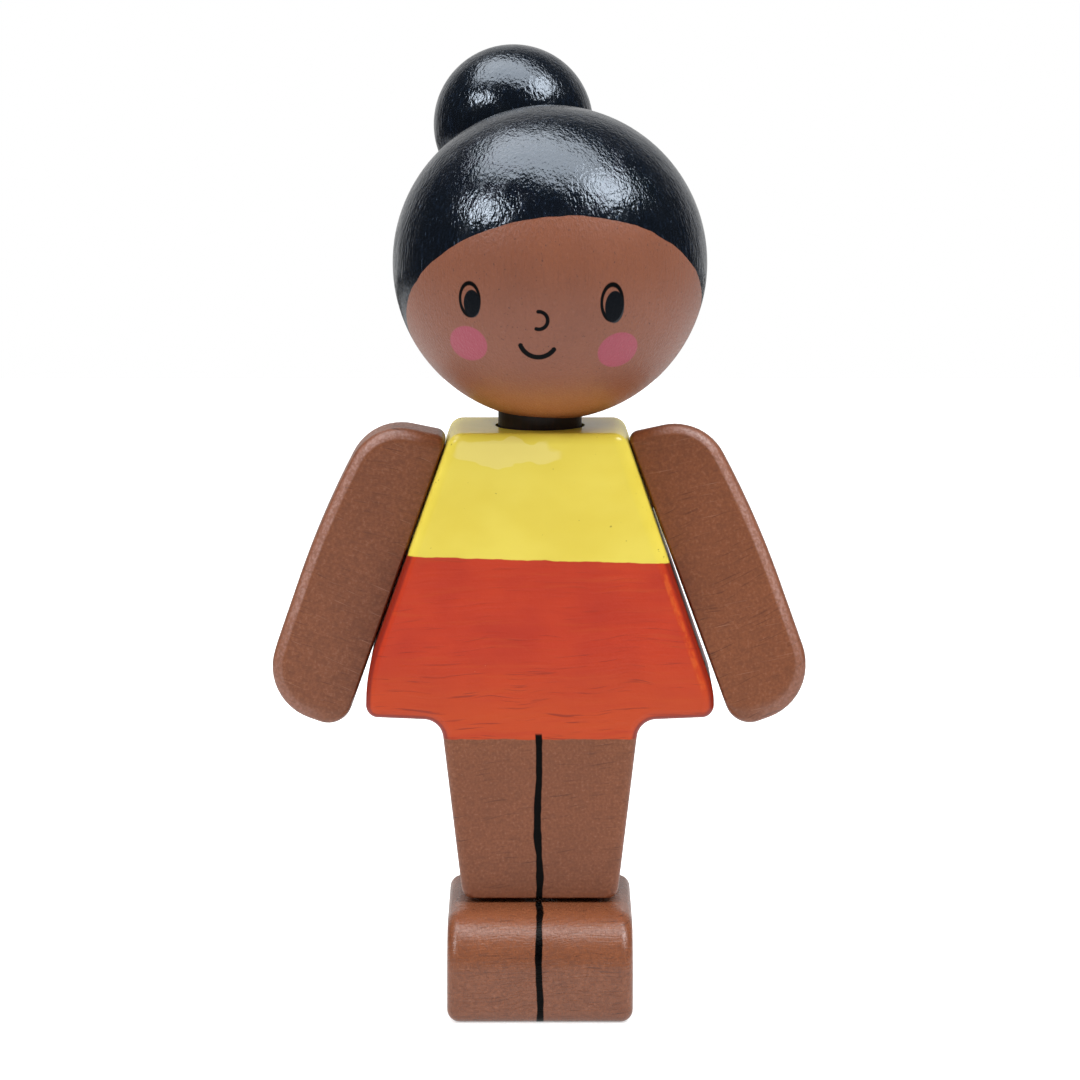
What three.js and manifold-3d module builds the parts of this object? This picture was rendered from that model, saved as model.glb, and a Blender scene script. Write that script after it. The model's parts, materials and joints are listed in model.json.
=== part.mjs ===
// Wooden toy figure: a flat board body glued on a foot block, a ball head with a hair bun that turns
// on a neck dowel, and two arms that swing on pegs in the slanted sides of the dress.
// Millimetres, +Z up. The face looks towards -Y; left and right are those of a viewer in front of it,
// so left is -X. The origin is on the sole, under the middle of the body board.
import * as THREE from 'three';
import { mergeVertices } from 'three/addons/utils/BufferGeometryUtils.js';
import Module from 'manifold-3d';

// Foot block: its heel is flush with the back of the body board.
const FOOT_WIDTH = 17.6;
const FOOT_LENGTH = 22;
const FOOT_HEIGHT = 10;
const TOE_RADIUS = 5;
const FOOT_EDGE_RADIUS = 1.2;

// Body board: dress and legs are sawn from one piece, by hand, so its two sides differ a little.
const BOARD_THICKNESS = 14;
const LEG_LENGTH = 17.3;
const LEG_BOTTOM_WIDTH = 14.8;
const LEG_TOP_WIDTH = 18.9;
const LEG_CORNER_RADIUS = 1.1;
const CROTCH_RADIUS = 1.9;
const DRESS_HEIGHT = 27.6;
const LEFT_SHOULDER_REACH = 8.4;
const RIGHT_SHOULDER_REACH = 8;
const SHOULDER_CORNER_RADIUS = 1.4;
const SKIRT_WIDTH = 33.2;
const LEFT_SKIRT_EDGE_HEIGHT = 4.3;
const RIGHT_SKIRT_EDGE_HEIGHT = 2.5;
const LEFT_SKIRT_SIDE_RADIUS = 18;
const RIGHT_SKIRT_SIDE_RADIUS = 7;
const HEM_CORNER_RADIUS = 1.2;
const HEM_RISE = 0.3;
const BOARD_EDGE_RADIUS = 1;

// Head, neck and bun: turned balls on dowels. The head is drilled a little off its middle.
const HEAD_DIAMETER = 30;
const HEAD_OFFSET = 0.95;
const HEAD_LIFT = 0.6;
const NECK_DIAMETER = 8;
const NECK_IN_BODY = 7;
const NECK_IN_HEAD = 11;
const BUN_DIAMETER = 15.7;
const BUN_FLAT_DIAMETER = 6.7;
const BUN_RISE_DEG = 31.9;
const BUN_SIDE_DEG = 10.8;

// Arms: sawn from a thinner board, with a straight inner edge and a bowed outer edge.
const ARM_THICKNESS = 7;
const ARM_LENGTH = 30.2;
const ARM_TOP_WIDTH = 7.25;
const ARM_TOP_DROP = 1.05;
const ARM_BELLY_WIDTH = 8.72;
const ARM_BELLY_BELOW_TOP = 11.8;
const HAND_WIDTH = 8.53;
const ARM_TOP_RADIUS = 5.6;
const ARM_INNER_TOP_RADIUS = 1.1;
const ARM_BOW_RADIUS = 95;
const HAND_OUTER_RADIUS = 5.3;
const HAND_INNER_RADIUS = 2.4;
const ARM_EDGE_RADIUS = 1;

// Shoulders: where the pegs sit, how far the arms stand off, and the pose that the arms rest in.
const SHOULDER_BELOW_TOP = 6.1;
const PEG_BELOW_ARM_TOP = 5.6;
const LEFT_ARM_SPLAY_DEG = 0;
const RIGHT_ARM_SPLAY_DEG = 1.2;
const LEFT_ARM_FORWARD_DEG = 0;
const RIGHT_ARM_FORWARD_DEG = 8;
const PEG_IN_BODY = 4.2;
const PEG_IN_ARM = 5;

// Dowels and their fits.
const PEG_DIAMETER = 4;
const FOOT_DOWEL_DIAMETER = 4;
const FOOT_DOWEL_IN_LEG = 6;
const FOOT_DOWEL_IN_FOOT = 6;
const BUN_DOWEL_DIAMETER = 4;
const BUN_DOWEL_IN_HEAD = 5;
const BUN_DOWEL_IN_BUN = 5;
const DOWEL_CHAMFER = 0.4;
const GLUE_GAP = 0.3;
const TURNING_GAP = 0.3;
const ARM_GAP = 0.25;

// Smoothness of round shapes.
const ARC_STEP_DEG = 15;
const EDGE_STEPS = 2;
const SHORTEST_EDGE = 0.1;
const CORNER_SHARE = 0.9;
const DOWEL_SIDES = 24;
const HEAD_SIDES = 40;
const BUN_SIDES = 28;

// Paint and wood colours, and how rough each finish is.
const DRESS_RED = 0xc4432b;
const SKIN_BROWN = 0x84563f;
const HAIR_BLACK = 0x26303d;
const NECK_BROWN = 0x3a2a22;
const BARE_WOOD = 0xd2b48c;
const GLOSS_PAINT = 0.3;
const SATIN_PAINT = 0.45;
const RAW_WOOD = 0.7;

// Levels and directions worked out from the sizes.
const legBottom = FOOT_HEIGHT + GLUE_GAP;
const hem = legBottom + LEG_LENGTH;
const bodyTop = hem + DRESS_HEIGHT;
const headRadius = HEAD_DIAMETER / 2;
const headCentre = new THREE.Vector3(HEAD_OFFSET, 0, bodyTop + HEAD_LIFT + headRadius);
const up = new THREE.Vector3(0, 0, 1);
const down = new THREE.Vector3(0, 0, -1);

// The two sides of the figure, each with its own values.
const sides = {
  left: {
    sign: -1,
    shoulderReach: LEFT_SHOULDER_REACH,
    skirtEdgeHeight: LEFT_SKIRT_EDGE_HEIGHT,
    skirtSideRadius: LEFT_SKIRT_SIDE_RADIUS,
    splayDeg: LEFT_ARM_SPLAY_DEG,
    forwardDeg: LEFT_ARM_FORWARD_DEG,
  },
  right: {
    sign: 1,
    shoulderReach: RIGHT_SHOULDER_REACH,
    skirtEdgeHeight: RIGHT_SKIRT_EDGE_HEIGHT,
    skirtSideRadius: RIGHT_SKIRT_SIDE_RADIUS,
    splayDeg: RIGHT_ARM_SPLAY_DEG,
    forwardDeg: RIGHT_ARM_FORWARD_DEG,
  },
};

const wasm = await Module();
wasm.setup();

// A closed solid from a three.js geometry, with its shared vertices merged.
function solidOf(geometry) {
  const bare = geometry.clone();
  bare.deleteAttribute('normal');
  bare.deleteAttribute('uv');
  const merged = mergeVertices(bare);
  return new wasm.Manifold(new wasm.Mesh({
    numProp: 3,
    vertProperties: merged.attributes.position.array,
    triVerts: Uint32Array.from(merged.index.array),
  }));
}

function geometryOf(solid) {
  const mesh = solid.getMesh();
  const geometry = new THREE.BufferGeometry();
  geometry.setAttribute('position', new THREE.BufferAttribute(mesh.vertProperties, 3));
  geometry.setIndex(new THREE.BufferAttribute(mesh.triVerts, 1));
  geometry.computeVertexNormals();
  return geometry;
}

function cut(geometry, ...tools) {
  return geometryOf(tools.reduce((rest, tool) => rest.subtract(solidOf(tool)), solidOf(geometry)));
}

function piece(name, geometry, colour, roughness) {
  const finish = new THREE.MeshStandardMaterial({ color: colour, roughness, metalness: 0 });
  const mesh = new THREE.Mesh(geometry, finish);
  mesh.name = name;
  return mesh;
}

// The points of an outline through corners [x, y, radius], each rounded by an arc.
// Two arcs that share a short edge are both reduced until they fit on it.
function roundedOutline(corners) {
  const count = corners.length;
  const spots = corners.map(([x, y]) => new THREE.Vector2(x, y));
  const edges = spots.map((spot, i) => spots[(i + 1) % count].clone().sub(spot));
  const turns = edges.map((edge, i) => {
    const before = edges[(i + count - 1) % count];
    return Math.atan2(before.cross(edge), before.dot(edge));
  });
  const wanted = corners.map(([, , radius], i) => radius * Math.tan(Math.abs(turns[i]) / 2));
  const share = edges.map((edge, i) => Math.min(1, edge.length() / (wanted[i] + wanted[(i + 1) % count])));
  const points = [];
  spots.forEach((spot, i) => {
    const previous = (i + count - 1) % count;
    const reach = wanted[i] * Math.min(share[i], share[previous]);
    const radius = reach / Math.tan(Math.abs(turns[i]) / 2);
    const inward = edges[previous].clone().normalize();
    const side = new THREE.Vector2(-inward.y, inward.x).multiplyScalar(Math.sign(turns[i]));
    const start = spot.clone().addScaledVector(inward, -reach);
    const centre = start.clone().addScaledVector(side, radius);
    const steps = Math.max(2, Math.ceil(Math.abs(turns[i]) / THREE.MathUtils.degToRad(ARC_STEP_DEG)));
    for (let step = 0; step <= steps; step += 1) {
      points.push(start.clone().rotateAround(centre, (turns[i] * step) / steps));
    }
  });
  return points.filter((point, i) => point.distanceTo(points[(i + 1) % points.length]) > SHORTEST_EDGE);
}

// A board of an outline in its own XY plane, centred on Z, with its front and back edges rounded.
// The rounding is limited by the tightest outer corner of the outline.
function board(corners, thickness, edgeRadius) {
  const tightest = Math.min(...corners.filter(([, , , inner]) => !inner).map(([, , radius]) => radius));
  const rounding = Math.min(edgeRadius, CORNER_SHARE * tightest);
  const geometry = new THREE.ExtrudeGeometry(new THREE.Shape(roundedOutline(corners)), {
    depth: thickness - 2 * rounding,
    bevelThickness: rounding,
    bevelSize: rounding,
    bevelOffset: -rounding,
    bevelSegments: EDGE_STEPS,
  });
  return geometry.translate(0, 0, rounding - thickness / 2);
}

// A round rod from a point along a direction, with chamfered ends.
function rod(diameter, length, start, direction, chamfer = 0) {
  const circle = new THREE.EllipseCurve(0, 0, diameter / 2, diameter / 2);
  const section = new THREE.Shape(circle.getPoints(DOWEL_SIDES).slice(0, DOWEL_SIDES));
  const geometry = new THREE.ExtrudeGeometry(section, {
    depth: length - 2 * chamfer,
    bevelEnabled: chamfer > 0,
    bevelThickness: chamfer,
    bevelSize: chamfer,
    bevelOffset: -chamfer,
    bevelSegments: 1,
  });
  geometry.translate(0, 0, chamfer);
  geometry.applyQuaternion(new THREE.Quaternion().setFromUnitVectors(up, direction));
  return geometry.translate(start.x, start.y, start.z);
}

// A drilled hole for a rod: its mouth is open by the overrun, and its end leaves room past the rod.
function hole(diameter, depth, mouth, inward, gap, overrun) {
  const start = mouth.clone().addScaledVector(inward, -overrun);
  return rod(diameter + 2 * gap, overrun + depth + gap, start, inward);
}

// Shoulder frames: local X leaves the arm's inner face, local Y runs down the arm, Z is across it.
// A splayed arm stands off by as much as keeps its gap at the top of the body.
function shoulder({ sign, shoulderReach, skirtEdgeHeight, splayDeg, forwardDeg }) {
  const run = SKIRT_WIDTH / 2 - shoulderReach;
  const drop = DRESS_HEIGHT - HEM_RISE - skirtEdgeHeight;
  const splay = THREE.MathUtils.degToRad(splayDeg);
  const standOff = ARM_GAP + SHOULDER_BELOW_TOP * Math.sin(splay);
  const lean = Math.atan2(run, drop) + splay;
  const outward = new THREE.Vector3(sign * Math.cos(lean), 0, Math.sin(lean));
  const downward = new THREE.Vector3(sign * Math.sin(lean), 0, -Math.cos(lean));
  const across = outward.clone().cross(downward);
  const reach = shoulderReach + run * (SHOULDER_BELOW_TOP / drop);
  const onSide = new THREE.Vector3(sign * reach, 0, bodyTop - SHOULDER_BELOW_TOP);
  return {
    inward: outward.clone().negate(),
    onSide,
    standOff,
    place: onSide.clone().addScaledVector(outward, standOff),
    basis: new THREE.Matrix4().makeBasis(outward, downward, across),
    swing: -Math.sign(across.y) * THREE.MathUtils.degToRad(forwardDeg),
  };
}

const shoulders = { left: shoulder(sides.left), right: shoulder(sides.right) };
const footDowelPlaces = { left: -LEG_BOTTOM_WIDTH / 4, right: LEG_BOTTOM_WIDTH / 4 };
const neckMouth = new THREE.Vector3(0, 0, bodyTop);

function bodyBlock() {
  const halfOutline = ({ sign, shoulderReach, skirtEdgeHeight, skirtSideRadius }) => [
    [(sign * LEG_BOTTOM_WIDTH) / 2, legBottom, LEG_CORNER_RADIUS],
    [(sign * LEG_TOP_WIDTH) / 2, hem, CROTCH_RADIUS, true],
    [(sign * SKIRT_WIDTH) / 2, hem + HEM_RISE, HEM_CORNER_RADIUS],
    [(sign * SKIRT_WIDTH) / 2, hem + HEM_RISE + skirtEdgeHeight, skirtSideRadius],
    [sign * shoulderReach, bodyTop, SHOULDER_CORNER_RADIUS],
  ];
  const outline = [...halfOutline(sides.right), ...halfOutline(sides.left).reverse()];
  const blank = board(outline, BOARD_THICKNESS, BOARD_EDGE_RADIUS).rotateX(Math.PI / 2);
  const pegHoles = Object.values(shoulders).map(({ onSide, inward }) => (
    hole(PEG_DIAMETER, PEG_IN_BODY, onSide, inward, TURNING_GAP, PEG_DIAMETER)
  ));
  const dowelHoles = Object.values(footDowelPlaces).map((x) => {
    const mouth = new THREE.Vector3(x, 0, legBottom);
    return hole(FOOT_DOWEL_DIAMETER, FOOT_DOWEL_IN_LEG, mouth, up, GLUE_GAP, GLUE_GAP);
  });
  const neckHole = hole(NECK_DIAMETER, NECK_IN_BODY, neckMouth, down, TURNING_GAP, HEAD_LIFT);
  return cut(blank, neckHole, ...pegHoles, ...dowelHoles);
}

function footBlock() {
  const heel = BOARD_THICKNESS / 2;
  const toe = heel - FOOT_LENGTH;
  const sideView = [
    [toe, 0, FOOT_EDGE_RADIUS],
    [heel, 0, FOOT_EDGE_RADIUS],
    [heel, FOOT_HEIGHT, FOOT_EDGE_RADIUS],
    [toe, FOOT_HEIGHT, TOE_RADIUS],
  ];
  const blank = board(sideView, FOOT_WIDTH, FOOT_EDGE_RADIUS).rotateX(Math.PI / 2).rotateZ(Math.PI / 2);
  const dowelHoles = Object.values(footDowelPlaces).map((x) => {
    const mouth = new THREE.Vector3(x, 0, FOOT_HEIGHT);
    return hole(FOOT_DOWEL_DIAMETER, FOOT_DOWEL_IN_FOOT, mouth, down, GLUE_GAP, GLUE_GAP);
  });
  return cut(blank, ...dowelHoles);
}

function footDowel(x) {
  const start = new THREE.Vector3(x, 0, FOOT_HEIGHT - FOOT_DOWEL_IN_FOOT);
  const length = FOOT_DOWEL_IN_FOOT + GLUE_GAP + FOOT_DOWEL_IN_LEG;
  return rod(FOOT_DOWEL_DIAMETER, length, start, up, DOWEL_CHAMFER);
}

// The bun sits on the head along one direction, behind it, a little up and to the left.
const bunRise = THREE.MathUtils.degToRad(BUN_RISE_DEG);
const bunSide = THREE.MathUtils.degToRad(BUN_SIDE_DEG);
const bunDirection = new THREE.Vector3(
  -Math.cos(bunRise) * Math.sin(bunSide),
  Math.cos(bunRise) * Math.cos(bunSide),
  Math.sin(bunRise),
);
const bunRadius = BUN_DIAMETER / 2;
const bunFlatHeight = Math.sqrt(bunRadius ** 2 - (BUN_FLAT_DIAMETER / 2) ** 2);
const bunCentre = headCentre.clone().addScaledVector(bunDirection, headRadius + GLUE_GAP + bunFlatHeight);
const bunSeat = headCentre.clone().addScaledVector(bunDirection, headRadius);
const bunFlat = bunCentre.clone().addScaledVector(bunDirection, -bunFlatHeight);
const intoHead = bunDirection.clone().negate();

function ball(diameter, sides, centre) {
  const geometry = new THREE.SphereGeometry(diameter / 2, sides, sides / 2);
  return geometry.rotateX(Math.PI / 2).translate(centre.x, centre.y, centre.z);
}

// The neck hole's depth is counted from the lowest point of the ball.
const headBottom = new THREE.Vector3(0, 0, headCentre.z - headRadius);

// A hole for the bun's dowel, cut from well outside the ball's round side.
function bunHole(depth, mouth, inward) {
  return hole(BUN_DOWEL_DIAMETER, depth, mouth, inward, GLUE_GAP, BUN_DOWEL_DIAMETER);
}

function headBall() {
  const neckHole = hole(NECK_DIAMETER, NECK_IN_HEAD, headBottom, up, GLUE_GAP, HEAD_LIFT);
  const dowelHole = bunHole(BUN_DOWEL_IN_HEAD, bunSeat, intoHead);
  return cut(ball(HEAD_DIAMETER, HEAD_SIDES, headCentre), neckHole, dowelHole);
}

function bunBall() {
  const flat = rod(2 * BUN_DIAMETER, bunRadius, bunFlat, intoHead);
  const dowelHole = bunHole(BUN_DOWEL_IN_BUN, bunFlat, bunDirection);
  return cut(ball(BUN_DIAMETER, BUN_SIDES, bunCentre), flat, dowelHole);
}

function bunDowel() {
  const start = bunSeat.clone().addScaledVector(intoHead, BUN_DOWEL_IN_HEAD);
  const length = BUN_DOWEL_IN_HEAD + GLUE_GAP + BUN_DOWEL_IN_BUN;
  return rod(BUN_DOWEL_DIAMETER, length, start, bunDirection, DOWEL_CHAMFER);
}

function neckDowel() {
  const start = neckMouth.clone().addScaledVector(down, NECK_IN_BODY);
  return rod(NECK_DIAMETER, NECK_IN_BODY + HEAD_LIFT + NECK_IN_HEAD, start, up, DOWEL_CHAMFER);
}

// Arm in its shoulder frame, with the peg's axis on local X.
const pegMouth = new THREE.Vector3(0, 0, 0);
const localOutward = new THREE.Vector3(1, 0, 0);

function arm() {
  const corners = [
    [0, 0, ARM_INNER_TOP_RADIUS],
    [ARM_TOP_WIDTH, ARM_TOP_DROP, ARM_TOP_RADIUS],
    [ARM_BELLY_WIDTH, ARM_BELLY_BELOW_TOP, ARM_BOW_RADIUS],
    [HAND_WIDTH, ARM_LENGTH, HAND_OUTER_RADIUS],
    [0, ARM_LENGTH, HAND_INNER_RADIUS],
  ];
  const blank = board(corners, ARM_THICKNESS, ARM_EDGE_RADIUS).translate(0, -PEG_BELOW_ARM_TOP, 0);
  return cut(blank, hole(PEG_DIAMETER, PEG_IN_ARM, pegMouth, localOutward, GLUE_GAP, PEG_DIAMETER));
}

function shoulderPeg(standOff) {
  const start = pegMouth.clone().addScaledVector(localOutward, -standOff - PEG_IN_BODY);
  return rod(PEG_DIAMETER, PEG_IN_BODY + standOff + PEG_IN_ARM, start, localOutward, DOWEL_CHAMFER);
}

const figure = new THREE.Group();
figure.add(piece('body_block', bodyBlock(), DRESS_RED, SATIN_PAINT));
figure.add(piece('foot_block', footBlock(), SKIN_BROWN, SATIN_PAINT));
Object.entries(footDowelPlaces).forEach(([side, x]) => {
  figure.add(piece(`foot_dowel_${side}`, footDowel(x), BARE_WOOD, RAW_WOOD));
});

const head = new THREE.Group();
head.add(piece('neck_dowel', neckDowel(), NECK_BROWN, SATIN_PAINT));
head.add(piece('head_ball', headBall(), SKIN_BROWN, SATIN_PAINT));
head.add(piece('bun_ball', bunBall(), HAIR_BLACK, GLOSS_PAINT));
head.add(piece('bun_dowel', bunDowel(), BARE_WOOD, RAW_WOOD));
figure.add(head);

Object.entries(shoulders).forEach(([side, { place, basis, swing, standOff }]) => {
  const socket = new THREE.Group();
  socket.position.copy(place);
  socket.quaternion.setFromRotationMatrix(basis);
  const swinging = new THREE.Group();
  swinging.rotation.x = swing;
  swinging.add(piece(`${side}_arm`, arm(), SKIN_BROWN, SATIN_PAINT));
  swinging.add(piece(`${side}_shoulder_peg`, shoulderPeg(standOff), BARE_WOOD, RAW_WOOD));
  socket.add(swinging);
  figure.add(socket);
});

export default figure;
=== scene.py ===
# Painted wooden toy figure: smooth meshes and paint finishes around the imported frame.
# Shapes are worked out in millimetres in the frame's axes: -Y is the front, left is -X.
import json
from math import atan2, cos, hypot, pi, radians, sin, tan
import bmesh
import bpy
from mathutils import Matrix, Vector


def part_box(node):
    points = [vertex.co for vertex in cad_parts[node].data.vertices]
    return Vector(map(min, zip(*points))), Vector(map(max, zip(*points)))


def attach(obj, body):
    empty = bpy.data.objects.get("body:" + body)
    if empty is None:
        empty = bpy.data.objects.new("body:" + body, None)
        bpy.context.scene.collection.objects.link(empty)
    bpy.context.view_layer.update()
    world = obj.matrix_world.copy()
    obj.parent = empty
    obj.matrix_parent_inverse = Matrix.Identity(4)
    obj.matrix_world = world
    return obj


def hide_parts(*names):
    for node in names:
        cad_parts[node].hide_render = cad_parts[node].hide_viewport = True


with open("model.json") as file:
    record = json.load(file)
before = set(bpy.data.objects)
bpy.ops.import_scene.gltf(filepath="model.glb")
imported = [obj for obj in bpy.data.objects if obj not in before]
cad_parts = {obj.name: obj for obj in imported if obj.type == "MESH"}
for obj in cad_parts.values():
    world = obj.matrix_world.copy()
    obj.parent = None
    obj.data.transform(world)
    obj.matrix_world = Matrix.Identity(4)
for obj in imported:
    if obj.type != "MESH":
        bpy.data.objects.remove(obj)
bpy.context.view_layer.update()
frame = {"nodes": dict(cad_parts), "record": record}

MM = 0.001
RIGHT = Vector((1, 0, 0))
BACKWARD = Vector((0, 1, 0))
UP = Vector((0, 0, 1))
DOWN = Vector((0, 0, -1))


def node_box(node):
    """Lowest and highest corner of a CAD node, in millimetres."""
    low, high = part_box(node)
    return Vector(low) / MM, Vector(high) / MM


# Sizes that follow from the frame.
body_low, body_high = node_box("body_block")
foot_low, foot_high = node_box("foot_block")
neck_low, neck_high = node_box("neck_dowel")
head_low, head_high = node_box("head_ball")
bun_low, bun_high = node_box("bun_ball")
HEAD_RADIUS = (head_high.x - head_low.x) / 2
HEAD_CENTRE = Vector((
    (head_low.x + head_high.x) / 2,
    (head_low.y + head_high.y) / 2,
    head_high.z - HEAD_RADIUS,
))
BUN_RADIUS = (bun_high.x - bun_low.x) / 2
BUN_CENTRE = (bun_low + bun_high) / 2
BUN_DIRECTION = (BUN_CENTRE - HEAD_CENTRE).normalized()
BUN_SEAT = HEAD_CENTRE + BUN_DIRECTION * HEAD_RADIUS
NECK_RADIUS = (neck_high.x - neck_low.x) / 2
BODY_TOP = body_high.z
LEG_BOTTOM = body_low.z
BOARD_THICKNESS = body_high.y - body_low.y
SKIRT_WIDTH = body_high.x - body_low.x
FOOT_WIDTH = foot_high.x - foot_low.x

# Body board outline; a share is how far an edge is rounded over, against the board's other edges.
LEG_LENGTH = 17.3
LEG_BOTTOM_WIDTH = 14.8
LEG_TOP_WIDTH = 18.9
LEG_CORNER_RADIUS = 1.1
LEG_SOLE_EDGE_SHARE = 0.25
SKIRT_EDGE_SHARE = 1.35
CROTCH_RADIUS = 1.9
SHOULDER_REACH = {"left": 8.4, "right": 8}
SHOULDER_CORNER_RADIUS = 1.4
SKIRT_EDGE_HEIGHT = {"left": 4.3, "right": 2.5}
SKIRT_SIDE_RADIUS = {"left": 18, "right": 7}
HEM_CORNER_RADIUS = 1.2
HEM_RISE = 0.3
BOARD_EDGE_RADIUS = 1.0
HEM = LEG_BOTTOM + LEG_LENGTH

# Foot block outline.
TOE_RADIUS = 5
FOOT_EDGE_RADIUS = 1.2

# Arm outline, in the shoulder's own frame: across the arm, then down it. The paint is on its inner face.
ARM_THICKNESS = 7
ARM_LENGTH = 30.2
ARM_TOP_WIDTH = 7.25
ARM_TOP_DROP = 1.05
ARM_BELLY_WIDTH = 8.72
ARM_BELLY_BELOW_TOP = 11.8
HAND_WIDTH = 8.53
ARM_TOP_RADIUS = 5.6
ARM_INNER_TOP_RADIUS = 0.95
ARM_BOW_RADIUS = 95
HAND_OUTER_RADIUS = 5.3
HAND_INNER_RADIUS = 2.4
ARM_EDGE_RADIUS = 1.3
ARM_INNER_EDGE_SHARE = 0.25
HAND_EDGE_SHARE = 1.4
ARM_PAINT = {"left": 0.17, "right": 0.23}
PEG_BELOW_ARM_TOP = 5.6
ARM_REST_FORWARD_DEG = {"left": 0, "right": 8}
SIGN = {"left": -1, "right": 1}

# Drilled holes: a dowel's radius and the gap round it, and how deep each dowel sits.
PEG_RADIUS = 2
HOLE_GAP = 0.3
PEG_IN_ARM = 5
NECK_IN_BODY = BODY_TOP - neck_low.z
NECK_IN_HEAD = neck_high.z - (HEAD_CENTRE.z - HEAD_RADIUS)
BUN_DOWEL_DEPTH = 5
FOOT_DOWEL_DEPTH = 6
BUN_FLAT_RADIUS = 3.35
NECK_CHAMFER = 0.4

# Mesh fineness.
ARC_STEPS = 12
EDGE_STEPS = 6
BALL_CUTS = 31
HOLE_SIDES = 48
SHARP_ANGLE = radians(40)
ARC_ROOM = 0.96


def new_piece(name, builder, body, node, finish):
    """A smooth mesh object from a bmesh in millimetres, riding on a body in place of a CAD node."""
    mesh = bpy.data.meshes.new(name)
    bmesh.ops.recalc_face_normals(builder, faces=builder.faces)
    bmesh.ops.scale(builder, vec=(MM, MM, MM), verts=builder.verts)
    builder.to_mesh(mesh)
    builder.free()
    piece = bpy.data.objects.new(name, mesh)
    bpy.context.scene.collection.objects.link(piece)
    piece.data.materials.append(finish)
    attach(piece, body)
    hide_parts(node)
    return piece


def inset_corners(corners, inset, shares):
    """The corners of an outline with each edge moved inwards by its share of the inset."""
    count = len(corners)
    moved = []
    for i, (x, y, radius) in enumerate(corners):
        here = Vector((x, y))
        come = (here - Vector(corners[i - 1][:2])).normalized()
        leave = (Vector(corners[(i + 1) % count][:2]) - here).normalized()
        turn = atan2(come.cross(leave), come.dot(leave))
        before, after = inset * shares[i - 1], inset * shares[i]
        back = (after - before * cos(turn)) / sin(turn)
        spot = here + Vector((-come.y, come.x)) * before - come * back
        tighter = (before + after) / 2
        moved.append((spot.x, spot.y, radius - tighter if turn > 0 else radius + tighter))
    return moved


def fitted_corners(corners):
    """Corners whose arcs are reduced where two of them would not fit on the edge that they share."""
    count = len(corners)
    spots = [Vector(corner[:2]) for corner in corners]
    edges = [spots[(i + 1) % count] - spots[i] for i in range(count)]
    turns = [atan2(edges[i - 1].cross(edges[i]), edges[i - 1].dot(edges[i])) for i in range(count)]
    wanted = [corner[2] * tan(abs(turn) / 2) for corner, turn in zip(corners, turns)]
    taken = [wanted[i] + wanted[(i + 1) % count] for i in range(count)]
    room = [min(1, ARC_ROOM * edge.length / both) for edge, both in zip(edges, taken)]
    return [(x, y, radius * min(room[i], room[i - 1])) for i, (x, y, radius) in enumerate(corners)]


def rounded_outline(corners):
    """Points round an outline of (x, y, radius) corners, each corner an arc of the same number of steps."""
    count = len(corners)
    points = []
    for i, (x, y, radius) in enumerate(corners):
        here = Vector((x, y))
        come = (here - Vector(corners[i - 1][:2])).normalized()
        leave = (Vector(corners[(i + 1) % count][:2]) - here).normalized()
        turn = atan2(come.cross(leave), come.dot(leave))
        side = Vector((-come.y, come.x)) * (1 if turn > 0 else -1)
        start = here - come * (radius * tan(abs(turn) / 2))
        centre = start + side * radius
        for step in range(ARC_STEPS + 1):
            spoke = start - centre
            spoke.rotate(Matrix.Rotation(turn * step / ARC_STEPS, 2))
            points.append(centre + spoke)
    return points


def board(corners, thickness, edge_radius, place, shares=None):
    """A sawn board: an outline with thickness, whose front and back edges are rounded over."""
    builder = bmesh.new()
    shares = shares or [1] * len(corners)
    corners = fitted_corners(corners)
    rings = []
    for face in (-1, 1):
        sweep = range(EDGE_STEPS + 1) if face < 0 else range(EDGE_STEPS, -1, -1)
        for step in sweep:
            angle = pi / 2 * step / EDGE_STEPS
            outline = rounded_outline(inset_corners(corners, edge_radius * (1 - sin(angle)), shares))
            depth = face * (thickness / 2 - edge_radius * (1 - cos(angle)))
            rings.append([builder.verts.new(place @ Vector((p.x, p.y, depth))) for p in outline])
    for near, far in zip(rings, rings[1:]):
        for i, vertex in enumerate(near):
            j = (i + 1) % len(near)
            builder.faces.new((vertex, near[j], far[j], far[i]))
    builder.faces.new(rings[0])
    builder.faces.new(rings[-1])
    return builder


def ball(centre, radius):
    """A turned ball with an even net of faces."""
    builder = bmesh.new()
    bmesh.ops.create_cube(builder, size=2)
    bmesh.ops.subdivide_edges(builder, edges=builder.edges[:], cuts=BALL_CUTS, use_grid_fill=True)
    for vertex in builder.verts:
        x, y, z = (tan(c * pi / 4) for c in vertex.co)
        vertex.co = centre + Vector((x, y, z)).normalized() * radius
    return builder


def rod(start, direction, profile):
    """A round rod along a direction, from (distance along, radius) pairs."""
    builder = bmesh.new()
    turn = UP.rotation_difference(direction).to_matrix()
    rings = []
    for along, radius in profile:
        spokes = [2 * pi * i / HOLE_SIDES for i in range(HOLE_SIDES)]
        spots = [Vector((radius * cos(a), radius * sin(a), along)) for a in spokes]
        rings.append([builder.verts.new(start + turn @ spot) for spot in spots])
    for near, far in zip(rings, rings[1:]):
        for i, vertex in enumerate(near):
            j = (i + 1) % HOLE_SIDES
            builder.faces.new((vertex, near[j], far[j], far[i]))
    builder.faces.new(rings[0])
    builder.faces.new(rings[-1])
    return builder


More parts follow.
